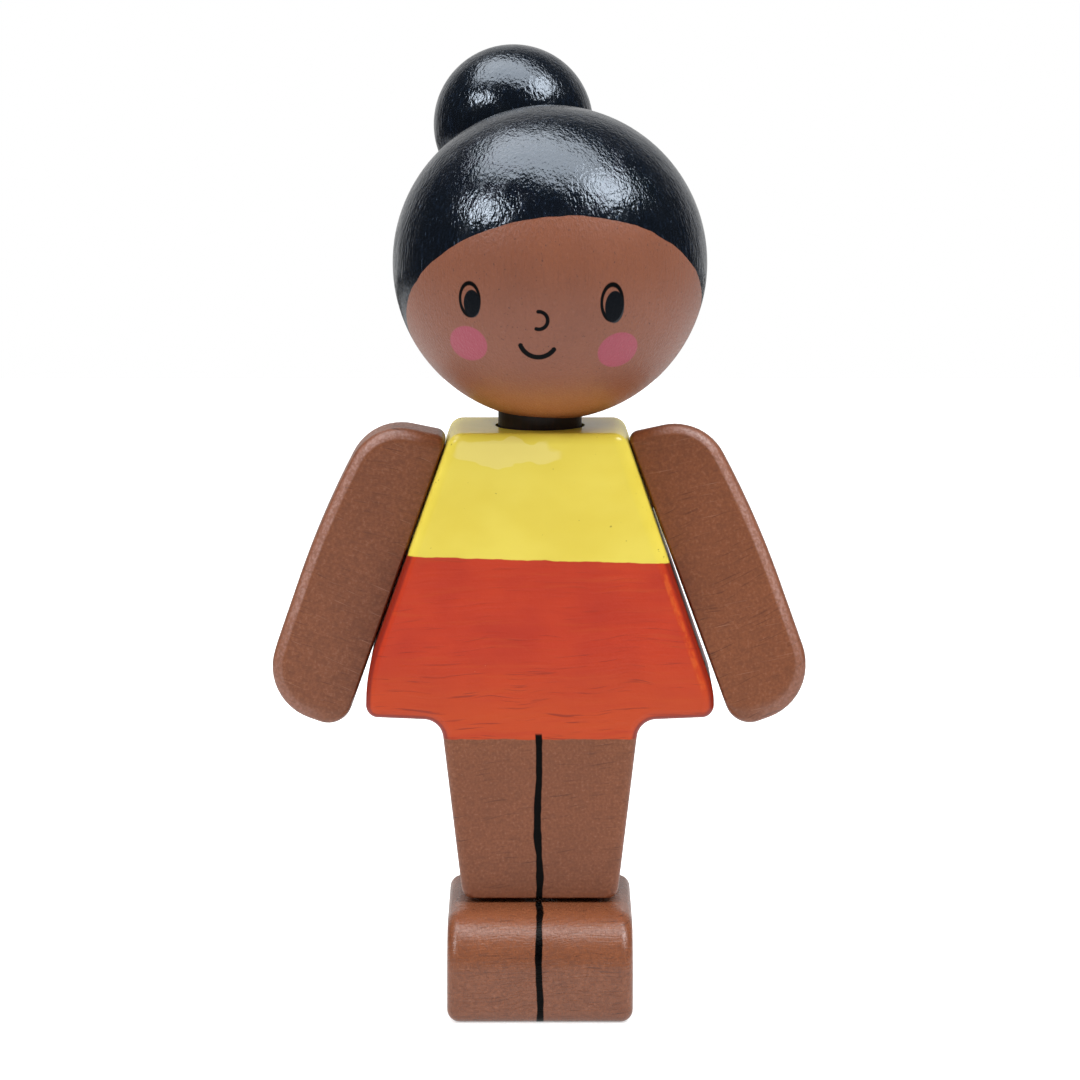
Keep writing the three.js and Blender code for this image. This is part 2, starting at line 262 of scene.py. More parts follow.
def drill(piece, *tools):
    """Cut tool shapes out of a piece, then shade it smooth with crisp rims."""
    for tool in tools:
        bmesh.ops.recalc_face_normals(tool, faces=tool.faces)
        bmesh.ops.scale(tool, vec=(MM, MM, MM), verts=tool.verts)
        cutter_mesh = bpy.data.meshes.new("cutter")
        tool.to_mesh(cutter_mesh)
        tool.free()
        cutter = bpy.data.objects.new("cutter", cutter_mesh)
        bpy.context.scene.collection.objects.link(cutter)
        drilling = piece.modifiers.new("drill", "BOOLEAN")
        drilling.object = cutter
        drilling.operation = "DIFFERENCE"
        drilling.solver = "EXACT"
        solid = piece.evaluated_get(bpy.context.evaluated_depsgraph_get())
        cut_mesh = bpy.data.meshes.new_from_object(solid)
        piece.modifiers.clear()
        piece.data = cut_mesh
        bpy.data.objects.remove(cutter)
    piece.data.polygons.foreach_set("use_smooth", [True] * len(piece.data.polygons))
    piece.data.set_sharp_from_angle(angle=SHARP_ANGLE)
    even = piece.modifiers.new("even_shading", "WEIGHTED_NORMAL")
    even.keep_sharp = True


def hole(mouth, inward, radius, depth, overrun):
    """A drill tool that starts outside the mouth and goes a gap deeper than the dowel."""
    start = mouth - inward * overrun
    length = overrun + depth + HOLE_GAP
    return rod(start, inward, [(0, radius + HOLE_GAP), (length, radius + HOLE_GAP)])


# Specular level of the paints, the face's faint sheen and the cool tint of gloss.
SATIN = 0.45
GLOSSY = 0.95
FACE_GLOSS = 0.58
FACE_SHEEN = 0.12
FOOT_GLOSS = 0.66
INK_GLOSS = 0.1
COOL_GLOSS = (0.8, 0.89, 1.0, 1)


class Finish:
    """One paint finish: its node tree, with short names for the nodes that paint needs."""

    def __init__(self, name):
        self.material = bpy.data.materials.new(name)
        self.material.use_nodes = True
        self.tree = self.material.node_tree
        self.shader = self.tree.nodes["Principled BSDF"]
        self.place = self.node("ShaderNodeTexCoord").outputs["Object"]

    def node(self, kind, **settings):
        node = self.tree.nodes.new(kind)
        for key, value in settings.items():
            setattr(node, key, value)
        return node

    def feed(self, socket, value):
        if isinstance(value, bpy.types.NodeSocket):
            self.tree.links.new(value, socket)
        else:
            socket.default_value = value

    def math(self, operation, a, b=0.0, c=0.0):
        node = self.node("ShaderNodeMath", operation=operation)
        for socket, value in zip(node.inputs, (a, b, c)):
            self.feed(socket, value)
        return node.outputs[0]

    def along(self, direction, origin=Vector((0, 0, 0))):
        """Millimetres along a direction from an origin that is in millimetres too."""
        node = self.node("ShaderNodeVectorMath", operation="DOT_PRODUCT")
        self.feed(node.inputs[0], self.place)
        self.feed(node.inputs[1], tuple(direction / MM))
        return self.math("SUBTRACT", node.outputs["Value"], direction.dot(origin))

    def stack(self, x, y, z=0.0):
        node = self.node("ShaderNodeCombineXYZ")
        for socket, value in zip(node.inputs, (x, y, z)):
            self.feed(socket, value)
        return node.outputs[0]

    def ramp(self, value, low, high, out_low=0.0, out_high=1.0):
        """A smooth change from one value to another."""
        node = self.node("ShaderNodeMapRange", interpolation_type="SMOOTHSTEP")
        for socket, entry in zip(node.inputs, (value, low, high, out_low, out_high)):
            self.feed(socket, entry)
        return node.outputs[0]

    def noise(self, spacing, detail=2.0, vector=None, roughness=0.5, seed=0.0):
        """Noise whose features have the given spacing in millimetres along X, Y and Z."""
        scale = self.node("ShaderNodeVectorMath", operation="MULTIPLY_ADD")
        self.feed(scale.inputs[0], vector or self.place)
        self.feed(scale.inputs[1], tuple(1 / (s * MM) for s in spacing))
        self.feed(scale.inputs[2], (seed, seed, seed))
        node = self.node("ShaderNodeTexNoise")
        self.feed(node.inputs["Vector"], scale.outputs[0])
        self.feed(node.inputs["Scale"], 1.0)
        self.feed(node.inputs["Detail"], detail)
        self.feed(node.inputs["Roughness"], roughness)
        return node.outputs["Fac"]

    def mix(self, factor, a, b):
        node = self.node("ShaderNodeMix", data_type="RGBA")
        for socket, value in ((node.inputs[0], factor), (node.inputs[6], a), (node.inputs[7], b)):
            self.feed(socket, value)
        return node.outputs[2]

    def oval(self, plane, centre, half_width, half_height, lean_deg, softness=0.05):
        """A painted oval on a plane in millimetres: 1 inside, 0 outside."""
        node = self.node("ShaderNodeMapping", vector_type="TEXTURE")
        self.feed(node.inputs["Vector"], plane)
        self.feed(node.inputs["Location"], (centre[0], centre[1], 0))
        self.feed(node.inputs["Rotation"], (0, 0, radians(lean_deg)))
        self.feed(node.inputs["Scale"], (half_width, half_height, 1))
        length = self.node("ShaderNodeVectorMath", operation="LENGTH")
        self.feed(length.inputs[0], node.outputs[0])
        edge = softness / half_width
        return self.ramp(length.outputs["Value"], 1 + edge, 1 - edge)

    def arc(self, plane, first, middle, last, width, softness=0.05):
        """A brush stroke of a given width along the arc through three points, with round ends."""
        centre, radius = circle_through(first, middle, last)
        node = self.node("ShaderNodeVectorMath", operation="DISTANCE")
        self.feed(node.inputs[0], plane)
        self.feed(node.inputs[1], (centre.x, centre.y, 0))
        off = self.math("ABSOLUTE", self.math("SUBTRACT", node.outputs["Value"], radius))
        stroke = self.ramp(off, width / 2 + softness, width / 2 - softness)
        chord = (Vector(last) - Vector(first)).normalized()
        side = Vector((-chord.y, chord.x))
        if side.dot(Vector(middle) - Vector(first)) < 0:
            side.negate()
        beside = self.node("ShaderNodeVectorMath", operation="DOT_PRODUCT")
        self.feed(beside.inputs[0], plane)
        self.feed(beside.inputs[1], (side.x, side.y, 0))
        kept = self.math("GREATER_THAN", beside.outputs["Value"], side.dot(Vector(first)))
        ends = [self.oval(plane, end, width / 2, width / 2, 0, softness) for end in (first, last)]
        return self.math("MAXIMUM", self.math("MULTIPLY", stroke, kept), self.math("MAXIMUM", *ends))

    def bump(self, height, depth_mm, below=None):
        node = self.node("ShaderNodeBump")
        self.feed(node.inputs["Strength"], 1.0)
        self.feed(node.inputs["Distance"], depth_mm * MM)
        self.feed(node.inputs["Height"], height)
        if below:
            self.feed(node.inputs["Normal"], below)
        return node.outputs[0]

    def done(self, colour, roughness, normal, gloss=SATIN, tint=(1, 1, 1, 1)):
        self.feed(self.shader.inputs["Base Color"], colour)
        self.feed(self.shader.inputs["Roughness"], roughness)
        self.feed(self.shader.inputs["Normal"], normal)
        self.feed(self.shader.inputs["Specular IOR Level"], gloss)
        self.feed(self.shader.inputs["Specular Tint"], tint)
        return self.material


def circle_through(first, middle, last):
    """Centre and radius of the circle through three points."""
    (ax, ay), (bx, by), (cx, cy) = first, middle, last
    d = 2 * (ax * (by - cy) + bx * (cy - ay) + cx * (ay - by))
    a2, b2, c2 = ax * ax + ay * ay, bx * bx + by * by, cx * cx + cy * cy
    centre = Vector(((a2 * (by - cy) + b2 * (cy - ay) + c2 * (ay - by)) / d,
                     (a2 * (cx - bx) + b2 * (ax - cx) + c2 * (bx - ax)) / d))
    return centre, hypot(ax - centre.x, ay - centre.y)


def srgb(red, green, blue):
    """A colour given as 0 to 255 screen values, as a linear shader colour."""
    def linear(value):
        share = value / 255
        return share / 12.92 if share <= 0.04045 else ((share + 0.055) / 1.055) ** 2.4
    return (linear(red), linear(green), linear(blue), 1.0)


# Paint colours.
YELLOW = srgb(227, 206, 80)
YELLOW_DEEP = srgb(221, 198, 70)
RED = srgb(191, 50, 4)
RED_DEEP = srgb(179, 41, 4)
RED_LOW = srgb(189, 67, 6)
RED_DARK = srgb(120, 28, 10)
RED_PALE = srgb(226, 150, 110)
RED_EDGE_HIGHLIGHT = srgb(206, 84, 20)
RED_SIDE_SHADE = srgb(128, 26, 10)
YELLOW_REFLECTION = srgb(232, 214, 128)
YELLOW_NICK = srgb(150, 126, 40)
BROWN = srgb(132, 76, 47)
BROWN_DEEP = srgb(108, 60, 37)
BROWN_DARK = srgb(70, 36, 24)
BROWN_PALE = srgb(168, 122, 100)
BROWN_HIGHLIGHT = srgb(172, 132, 120)
SKIN = srgb(134, 76, 47)
SKIN_DEEP = srgb(119, 66, 41)
SKIN_DRESS_REFLECTION = srgb(168, 104, 52)
HAIR = srgb(9, 14, 21)
HAIR_PALE = srgb(18, 26, 38)
HAIR_SCRATCH_GLINT = srgb(58, 70, 86)
INK = srgb(3, 3, 3)
PUPIL = srgb(10, 13, 18)
BLUSH = srgb(158, 64, 78)
# The neck's dark brown paint, darkened further as painted shade; its pores darker still.
NECK_BROWN_AND_SHADE = srgb(38, 21, 15)
NECK_PORES = srgb(32, 19, 14)
BEECH = srgb(214, 182, 138)
BEECH_PORES = srgb(176, 138, 96)

# The face is painted as seen from a little above: millimetres right of and above the ball's middle.
FACE_LIFT = radians(5.3)
FACE_UP = Vector((0, sin(FACE_LIFT), cos(FACE_LIFT)))
FACE_OUT = Vector((0, -cos(FACE_LIFT), sin(FACE_LIFT)))
EYES = [
    {"centre": (-7.49, -3.35), "half": (1.03, 1.72), "lean": 4, "pupil": 0.75},
    {"centre": (5.76, -3.61), "half": (1.11, 1.87), "lean": -3, "pupil": 0.8},
]
EYE_RIM = 0.75
PUPIL_SHIFT = (0.21, -0.243)
CHEEKS = [
    {"centre": (-7.62, -7.48), "half": (1.85, 1.5), "lean": -35},
    {"centre": (6.3, -8.07), "half": (1.97, 1.5), "lean": 30},
]
NOSE = ((-1.12, -4.49), (-0.24, -5.23), (-1.3, -6.09))
NOSE_STROKE = 0.36
CHIN_PAINTED_REFLECTION = (-10.5, -14.5)
SHEEN_FADE = (-8.0, -13.0)
SMILE = ((-2.76, -7.64), (-1.13, -8.75), (0.34, -8.02))
SMILE_STROKE = 0.45

# The hair was dipped: its edge is a plane across the ball, given by level and slopes, and it wobbles.
HAIRLINE_LEVEL = -0.4424 * HEAD_RADIUS
HAIRLINE_SIDE_SLOPE = 0.0946
HAIRLINE_FRONT_SLOPE = 0.7638
HAIRLINE_WOBBLE = 0.5
HAIRLINE_EDGE = 0.05

# Roughness from the smoothest to the dullest spot of a paint, and depth of its relief in millimetres.
HAIR_ROUGHNESS = (0.09, 0.18)
HAIR_RELIEF = 0.027
FACE_ROUGHNESS = (0.38, 0.5)
FACE_RELIEF = 0.055
BROWN_ROUGHNESS_SPREAD = 0.14
DRESS_ROUGHNESS = {"red": 0.36, "yellow": 0.24}
DRESS_RELIEF = 0.03
WOOD_ROUGHNESS = 0.6
NECK_ROUGHNESS = 0.45
WOOD_RELIEF = 0.02


def hair_look(finish):
    """Colour, roughness and normal of glossy dark paint over scratchy grain."""
    streaks = finish.noise((0.26, 0.26, 2.0), detail=2)
    specks = finish.noise((0.42, 0.42, 0.5), detail=2, seed=27)
    blots = finish.noise((1.8, 1.8, 2.6), detail=1, seed=7)
    scratches = finish.noise((0.2, 0.2, 3.0), detail=2, seed=33)
    colour = finish.mix(finish.ramp(streaks, 0.5, 0.75), HAIR, HAIR_PALE)
    # Fine scratches in the hair paint, painted pale blue-grey as glints.
    colour = finish.mix(finish.ramp(scratches, 0.65, 0.74, 0.0, 0.6), colour, HAIR_SCRATCH_GLINT)
    roughness = finish.ramp(blots, 0.3, 0.7, *HAIR_ROUGHNESS)
    height = finish.math("MULTIPLY_ADD", specks, 1.2, finish.math("MULTIPLY", streaks, 2.1))
    height = finish.math("MULTIPLY_ADD", blots, 3.0, height)
    return colour, roughness, finish.bump(height, HAIR_RELIEF)


def hair_finish():
    finish = Finish("hair_paint")
    return finish.done(*hair_look(finish), gloss=GLOSSY, tint=COOL_GLOSS)


def head_finish():
    """Brown face paint, dipped dark hair and a simple painted doll face."""
    finish = Finish("head_paint")
    right = finish.along(RIGHT, HEAD_CENTRE)
    above = finish.along(FACE_UP, HEAD_CENTRE)
    front = finish.along(FACE_OUT, HEAD_CENTRE)
    plane = finish.stack(right, above)

    fibres = finish.noise((0.18, 0.18, 3.0), detail=3, seed=3)
    cloud = finish.noise((5, 5, 9), detail=2, seed=11)
    pits = finish.noise((0.22, 0.22, 0.3), detail=1, seed=19)
    skin = finish.mix(finish.ramp(cloud, 0.3, 0.7, 0.35, 0), SKIN, SKIN_DEEP)
    skin = finish.mix(finish.ramp(fibres, 0.55, 0.75, 0, 0.5), skin, SKIN_DEEP)
    skin = finish.mix(finish.ramp(pits, 0.7, 0.78, 0, 0.7), skin, BROWN_DARK)
    mottle = finish.noise((0.3, 0.3, 0.3), detail=3, seed=43)
    skin = finish.mix(finish.ramp(mottle, 0.5, 0.72, 0, 0.4), skin, SKIN_DEEP)
    skin = finish.mix(finish.ramp(mottle, 0.4, 0.24, 0, 0.12), skin, BROWN_PALE)
    # Painted reflection: the yellow dress's bounce light, painted as a warm golden tone round the bottom of
    # the ball.
    skin = finish.mix(finish.ramp(above, *CHIN_PAINTED_REFLECTION, 0.0, 0.6), skin, SKIN_DRESS_REFLECTION)
    facing = finish.math("GREATER_THAN", front, 0.0)
    for cheek in CHEEKS:
        mask = finish.oval(plane, cheek["centre"], *cheek["half"], cheek["lean"], softness=0.09)
        skin = finish.mix(finish.math("MULTIPLY", mask, facing), skin, BLUSH)
    inked = 0.0
    for eye in EYES:
        (x, y), (wide, tall) = eye["centre"], eye["half"]
        whole = finish.oval(plane, (x, y), wide, tall, eye["lean"])
        rim = finish.oval(plane, (x, y), wide * EYE_RIM, tall * EYE_RIM, eye["lean"])
        pupil_centre = (x + PUPIL_SHIFT[0] * wide, y + PUPIL_SHIFT[1] * tall)
        pupil = finish.oval(plane, pupil_centre, wide * eye["pupil"], tall * eye["pupil"], eye["lean"])
        glint = finish.math("MULTIPLY", rim, finish.math("SUBTRACT", 1.0, pupil))
        ink = finish.math("MULTIPLY", finish.math("SUBTRACT", whole, glint), facing)
        skin = finish.mix(ink, skin, INK)
        skin = finish.mix(finish.math("MULTIPLY", pupil, facing), skin, PUPIL)
        inked = finish.math("MAXIMUM", inked, ink)
    for points, stroke in ((NOSE, NOSE_STROKE), (SMILE, SMILE_STROKE)):
        mask = finish.math("MULTIPLY", finish.arc(plane, *points, stroke), facing)
        skin = finish.mix(mask, skin, INK)
        inked = finish.math("MAXIMUM", inked, mask)

    wobble = finish.noise((2.5, 2.5, 2.5), detail=2, seed=5)
    level = finish.math("MULTIPLY_ADD", right, -HAIRLINE_SIDE_SLOPE, above)
    level = finish.math("MULTIPLY_ADD", front, -HAIRLINE_FRONT_SLOPE, level)
    level = finish.math("MULTIPLY_ADD", wobble, HAIRLINE_WOBBLE, level)
    hairline = HAIRLINE_LEVEL + HAIRLINE_WOBBLE / 2
    hair = finish.ramp(level, hairline - HAIRLINE_EDGE, hairline + HAIRLINE_EDGE)
    hair_colour, hair_roughness, hair_normal = hair_look(finish)

    skin_rough = finish.ramp(pits, 0.3, 0.7, *FACE_ROUGHNESS)
    roughness = finish.node("ShaderNodeMix", data_type="FLOAT")
    finish.feed(roughness.inputs[0], hair)
    finish.feed(roughness.inputs[2], skin_rough)
    finish.feed(roughness.inputs[3], hair_roughness)
    relief = finish.math("MULTIPLY_ADD", mottle, 0.6, finish.math("MULTIPLY_ADD", pits, 0.5, fibres))
    face_normal = finish.bump(relief, FACE_RELIEF)
    normal = finish.mix(hair, face_normal, hair_normal)
    gloss = finish.ramp(inked, 0.0, 1.0, FACE_GLOSS, INK_GLOSS)
    gloss = finish.ramp(hair, 0.0, 1.0, gloss, GLOSSY)
    colour = finish.mix(hair, skin, hair_colour)
    bare = finish.math("SUBTRACT", 1.0, finish.math("MAXIMUM", hair, inked))
    sheen = finish.math("MULTIPLY", bare, finish.ramp(above, *SHEEN_FADE, FACE_SHEEN, 0.0))
    finish.feed(finish.shader.inputs["Sheen Weight"], sheen)
    return finish.done(colour, roughness.outputs[0], normal, gloss=gloss, tint=COOL_GLOSS)


def grain(finish, spacing, lean_deg, seed, wave_mm=0.0):
    """Noise drawn out along the fibres, which lean across the piece and may run in waves."""
    turned = finish.node("ShaderNodeMapping", vector_type="POINT")
    finish.feed(turned.inputs["Vector"], finish.place)
    finish.feed(turned.inputs["Rotation"], (0, radians(lean_deg), 0))
    vector = turned.outputs[0]
    if wave_mm:
        sway = finish.noise((6, 6, 6), 1, seed=seed + 2)
        wave = finish.math("MULTIPLY_ADD", sway, wave_mm * MM, -wave_mm * MM / 2)
        shift = finish.node("ShaderNodeVectorMath", operation="ADD")
        finish.feed(shift.inputs[0], vector)
        finish.feed(shift.inputs[1], finish.stack(0.0, 0.0, wave))
        vector = shift.outputs[0]
    return finish.noise(spacing, detail=3, vector=vector, seed=seed)


def brown_look(finish, lean_deg, seed, smooth=0.3, scratched=0.6, peel_mm=0.03):
    """Satin brown paint: fine mottling, dark dashes of grain and a few pale scratches."""
    mottle = finish.noise((0.26, 0.26, 0.26), detail=3, seed=seed + 9)
    cloud = finish.noise((6, 6, 8), detail=2, seed=seed + 4)
    dashes = grain(finish, (3.6, 3.6, 0.15), lean_deg, seed, wave_mm=1.5)
    scratches = grain(finish, (4.5, 4.5, 0.13), lean_deg - 10, seed + 14)
    colour = finish.mix(finish.ramp(cloud, 0.3, 0.7, 0.22, 0.0), BROWN, BROWN_DEEP)
    colour = finish.mix(finish.ramp(mottle, 0.42, 0.68, 0.0, 0.6), colour, BROWN_DEEP)
    colour = finish.mix(finish.ramp(mottle, 0.44, 0.28, 0.0, 0.2), colour, BROWN_PALE)
    blotches = finish.noise((0.9, 0.9, 0.7), detail=3, seed=seed + 30)
    colour = finish.mix(finish.ramp(blotches, 0.5, 0.68, 0.0, 0.35), colour, BROWN_DEEP)
    colour = finish.mix(finish.ramp(dashes, 0.61, 0.73, 0.0, 0.7), colour, BROWN_DARK)
    colour = finish.mix(finish.ramp(scratches, 0.66, 0.76, 0.0, scratched), colour, BROWN_PALE)
    roughness = finish.ramp(mottle, 0.3, 0.7, smooth, smooth + BROWN_ROUGHNESS_SPREAD)
    height = finish.math("MULTIPLY_ADD", mottle, 0.5, finish.math("MULTIPLY", dashes, -0.8))
    return colour, roughness, finish.bump(height, peel_mm)


# Painted bands of the body board, in millimetres above the sole, and how much their edges wobble.
WAIST = 43.15
WAIST_SLOPE = -0.0275
WAIST_WOBBLE = 0.25
LEG_PAINT = 25.9
LEG_PAINT_WOBBLE = 0.3
BAND_EDGE = 0.06

# The black line up the front of feet and legs: how far it wanders and swells, and how soft its edges are.
LEG_LINE_WIDTH = 0.64
LEG_LINE_X = -0.1
LEG_LINE_TOP = 26.4
LEG_LINE_WANDER = 0.8
LEG_LINE_SWELL = 0.3
LEG_LINE_SOFT = 0.05
LEG_LINE_TOP_SOFT = 0.15
LEG_LINE_DEPTH = 0.7

# Heights between which the red gets its dark grain and its paler, more orange tone, which is a painted
# reflection, from above to below.
RED_GRAIN_FADE = (40.0, 29.0)
RED_LOW_REFLECTION_FADE = (36.0, 27.0)

# Where a painted highlight runs along the skirt's right edge: from how far right, and from how far above
# the hem.
EDGE_HIGHLIGHT_RIGHT = (4.0, 9.0)
EDGE_HIGHLIGHT_ABOVE_HEM = (1.5, 4.0)

# Where an arm's edges get a painted highlight: from how far out of the shoulder, and how it fades down the
# arm.
HIGHLIGHT_OUTWARD = (1.5, 4.0)
HIGHLIGHT_DOWN = (12.0, 23.0)
HIGHLIGHT_AT_HAND = 0.42

# A painted reflection: a pale patch on the yellow under the neckline, across and up.
PATCH_CENTRE = (-3.1, 54.6)
PATCH_HALF = (5.0, 1.25)
PATCH_UNEVEN = 2.4
PATCH_SHARE = 0.55
PATCH_DEPTH = 1


def face_turn(finish, flat):
    """How squarely a surface faces along a direction, either way: 1 on a board's face, 0 on its side."""
    facing = finish.node("ShaderNodeVectorMath", operation="DOT_PRODUCT")
    finish.feed(facing.inputs[0], finish.node("ShaderNodeTexCoord").outputs["Normal"])
    finish.feed(facing.inputs[1], tuple(flat))
    return finish.math("ABSOLUTE", facing.outputs["Value"])


def ink_line(finish, sideways, top=None):
    """Where a wobbly hand-painted line runs up the front."""
    wander = finish.noise((9, 9, 9), detail=1, seed=23)
    swell = finish.noise((2, 2, 2), detail=1, seed=31)
    centre = finish.math("MULTIPLY_ADD", wander, LEG_LINE_WANDER, LEG_LINE_X - LEG_LINE_WANDER / 2)
    off = finish.math("ABSOLUTE", finish.math("SUBTRACT", sideways, centre))
    half = finish.math("MULTIPLY_ADD", swell, LEG_LINE_SWELL, (LEG_LINE_WIDTH - LEG_LINE_SWELL) / 2)
    line = finish.ramp(finish.math("SUBTRACT", off, half), LEG_LINE_SOFT, -LEG_LINE_SOFT)
    if top is not None:
        below = finish.ramp(finish.along(UP), top + LEG_LINE_TOP_SOFT, top - LEG_LINE_TOP_SOFT)
        line = finish.math("MULTIPLY", line, below)
    front = finish.math("LESS_THAN", finish.along(BACKWARD), LEG_LINE_DEPTH - BOARD_THICKNESS / 2)
    return finish.math("MULTIPLY", line, front)


def body_finish():
    """Yellow top, red skirt and brown legs, painted on one grained board."""
    finish = Finish("dress_paint")
    sideways = finish.along(RIGHT)
    height = finish.along(UP)
    cloud = finish.noise((7, 7, 5), detail=2, seed=13)
    nicks = finish.noise((0.5, 0.5, 0.35), detail=1, seed=37)
    wobble = finish.noise((1.6, 1.6, 1.6), detail=2, seed=41)
    mottle = finish.noise((0.3, 0.3, 0.3), detail=3, seed=52)

    yellow = finish.mix(finish.ramp(cloud, 0.3, 0.7), YELLOW_DEEP, YELLOW)
    yellow = finish.mix(finish.ramp(nicks, 0.74, 0.8, 0, 0.7), yellow, YELLOW_NICK)
    uneven = finish.noise((2.2, 2.2, 1.4), detail=1, seed=57)
    patch_place = finish.stack(sideways, finish.math("MULTIPLY_ADD", uneven, PATCH_UNEVEN, height))
    patch = finish.oval(patch_place, PATCH_CENTRE, *PATCH_HALF, 0, softness=0.35)
    front = finish.math("LESS_THAN", finish.along(BACKWARD), PATCH_DEPTH - BOARD_THICKNESS / 2)
    # Painted reflection of a lamp: a pale patch on the front of the yellow.
    reflection_mask = finish.math("MULTIPLY", patch, finish.math("MULTIPLY", front, PATCH_SHARE))
    yellow = finish.mix(reflection_mask, yellow, YELLOW_REFLECTION)

    fibres = grain(finish, (5.0, 5.0, 0.24), 2, 2, wave_mm=1.4)
    streaks = grain(finish, (9, 9, 0.7), 1, 17, wave_mm=1.2)
    lower = finish.ramp(height, *RED_GRAIN_FADE, 0.35, 1.0)
    red = finish.mix(finish.ramp(cloud, 0.3, 0.7), RED_DEEP, RED)
    # Painted reflection: the red grows paler and more orange towards the bottom.
    red = finish.mix(finish.ramp(height, *RED_LOW_REFLECTION_FADE, 0.0, 0.7), red, RED_LOW)
    red = finish.mix(finish.ramp(streaks, 0.5, 0.75, 0, 0.4), red, RED_DEEP)
    red = finish.mix(finish.ramp(streaks, 0.46, 0.3, 0, 0.35), red, RED_LOW)
    dark = finish.math("MULTIPLY", finish.ramp(fibres, 0.6, 0.72, 0, 0.6), lower)
    red = finish.mix(dark, red, RED_DARK)
    turned = face_turn(finish, BACKWARD)
    # Painted highlight: a speckled orange line where the skirt's right edge rounds over, low on the skirt.
    highlight_mask = finish.math("MULTIPLY", finish.ramp(turned, 0.998, 0.98), finish.ramp(turned, 0.82, 0.95))
    highlight_mask = finish.math("MULTIPLY", highlight_mask, finish.ramp(sideways, *EDGE_HIGHLIGHT_RIGHT))
    above_hem = finish.math("SUBTRACT", height, HEM)
    highlight_mask = finish.math("MULTIPLY", highlight_mask, finish.ramp(above_hem, *EDGE_HIGHLIGHT_ABOVE_HEM))
    patches = finish.noise((0.6, 0.6, 0.9), detail=3, seed=64)
    highlight_mask = finish.math("MULTIPLY", highlight_mask, finish.ramp(patches, 0.4, 0.64, 0.08, 0.75))
    red = finish.mix(highlight_mask, red, RED_EDGE_HIGHLIGHT)
    # Painted shade: the board's rounded edges and sides turn dark maroon as they face away from the front.
    red = finish.mix(finish.ramp(turned, 0.93, 0.74, 0.0, 0.85), red, RED_SIDE_SHADE)
    red = finish.mix(finish.ramp(nicks, 0.79, 0.83, 0, 0.6), red, RED_PALE)
    brown, brown_rough, brown_normal = brown_look(finish, 8, seed=6, scratched=0.1)

    waist = finish.math("MULTIPLY_ADD", sideways, -WAIST_SLOPE, height)
    waist = finish.math("MULTIPLY_ADD", wobble, WAIST_WOBBLE, waist)
    waist_edge = WAIST + WAIST_WOBBLE / 2
    is_yellow = finish.ramp(waist, waist_edge - BAND_EDGE, waist_edge + BAND_EDGE)
    leg = finish.math("MULTIPLY_ADD", wobble, LEG_PAINT_WOBBLE, height)
    leg_edge = LEG_PAINT + LEG_PAINT_WOBBLE / 2
    is_red = finish.ramp(leg, leg_edge - BAND_EDGE, leg_edge + BAND_EDGE)
    colour = finish.mix(is_yellow, finish.mix(is_red, brown, red), yellow)
    line = ink_line(finish, sideways, LEG_LINE_TOP)
    colour = finish.mix(line, colour, INK)
    gloss = finish.ramp(line, 0.0, 1.0, SATIN, INK_GLOSS)

    dress_rough = finish.ramp(is_yellow, 0.0, 1.0, DRESS_ROUGHNESS["red"], DRESS_ROUGHNESS["yellow"])
    roughness = finish.node("ShaderNodeMix", data_type="FLOAT")
    finish.feed(roughness.inputs[0], is_red)
    finish.feed(roughness.inputs[2], brown_rough)
    finish.feed(roughness.inputs[3], dress_rough)
    satin = finish.math("SUBTRACT", 1.0, is_yellow)
    relief = finish.math("MULTIPLY_ADD", fibres, -0.5, finish.math("MULTIPLY", mottle, 0.35))
    relief = finish.math("MULTIPLY_ADD", relief, satin, finish.math("MULTIPLY", cloud, 1.2))
    normal = finish.mix(is_red, brown_normal, finish.bump(relief, DRESS_RELIEF))
    return finish.done(colour, roughness.outputs[0], normal, gloss)


def edge_highlight(finish, colour, place):
    """A painted highlight: pale, speckled colour along an arm's rounded outer edges, given the shoulder's
    frame.
    """
    turned = face_turn(finish, place.col[2].to_3d())
    band = finish.math("MULTIPLY", finish.ramp(turned, 0.985, 0.93), finish.ramp(turned, 0.35, 0.75))
    outward = finish.along(place.col[0].to_3d(), place.translation)
    downward = finish.along(place.col[1].to_3d(), place.translation)
    outer = finish.ramp(outward, *HIGHLIGHT_OUTWARD)
    highlight_mask = finish.ramp(finish.noise((0.3, 0.3, 0.3), detail=3, seed=61), 0.4, 0.66, 0.3, 0.75)
    fading = finish.ramp(downward, *HIGHLIGHT_DOWN, 1.0, HIGHLIGHT_AT_HAND)
    lit_edge = finish.math("MULTIPLY", band, outer)
    lit_edge = finish.math("MULTIPLY", lit_edge, finish.math("MULTIPLY", highlight_mask, fading))
    return finish.mix(lit_edge, colour, BROWN_HIGHLIGHT)


def arm_finish(side, lean_deg, seed):
    finish = Finish(f"{side}_arm_paint")
    colour, roughness, normal = brown_look(finish, lean_deg, seed)
    return finish.done(edge_highlight(finish, colour, shoulder_place(side)), roughness, normal)


def foot_finish():
    finish = Finish("foot_paint")
    colour, roughness, normal = brown_look(finish, 4, seed=3, smooth=0.24, scratched=0.1, peel_mm=0.05)
    line = ink_line(finish, finish.along(RIGHT))
    gloss = finish.ramp(line, 0.0, 1.0, FOOT_GLOSS, INK_GLOSS)
    return finish.done(finish.mix(line, colour, INK), roughness, normal, gloss)


def wood_finish(name, pale, dark, roughness):
    """Plain dowel wood: long fibres with darker pores."""
    finish = Finish(name)
    fibres = finish.noise((0.3, 0.3, 4), detail=3, seed=15)
    colour = finish.mix(finish.ramp(fibres, 0.4, 0.7), pale, dark)
    return finish.done(colour, roughness, finish.bump(fibres, WOOD_RELIEF))


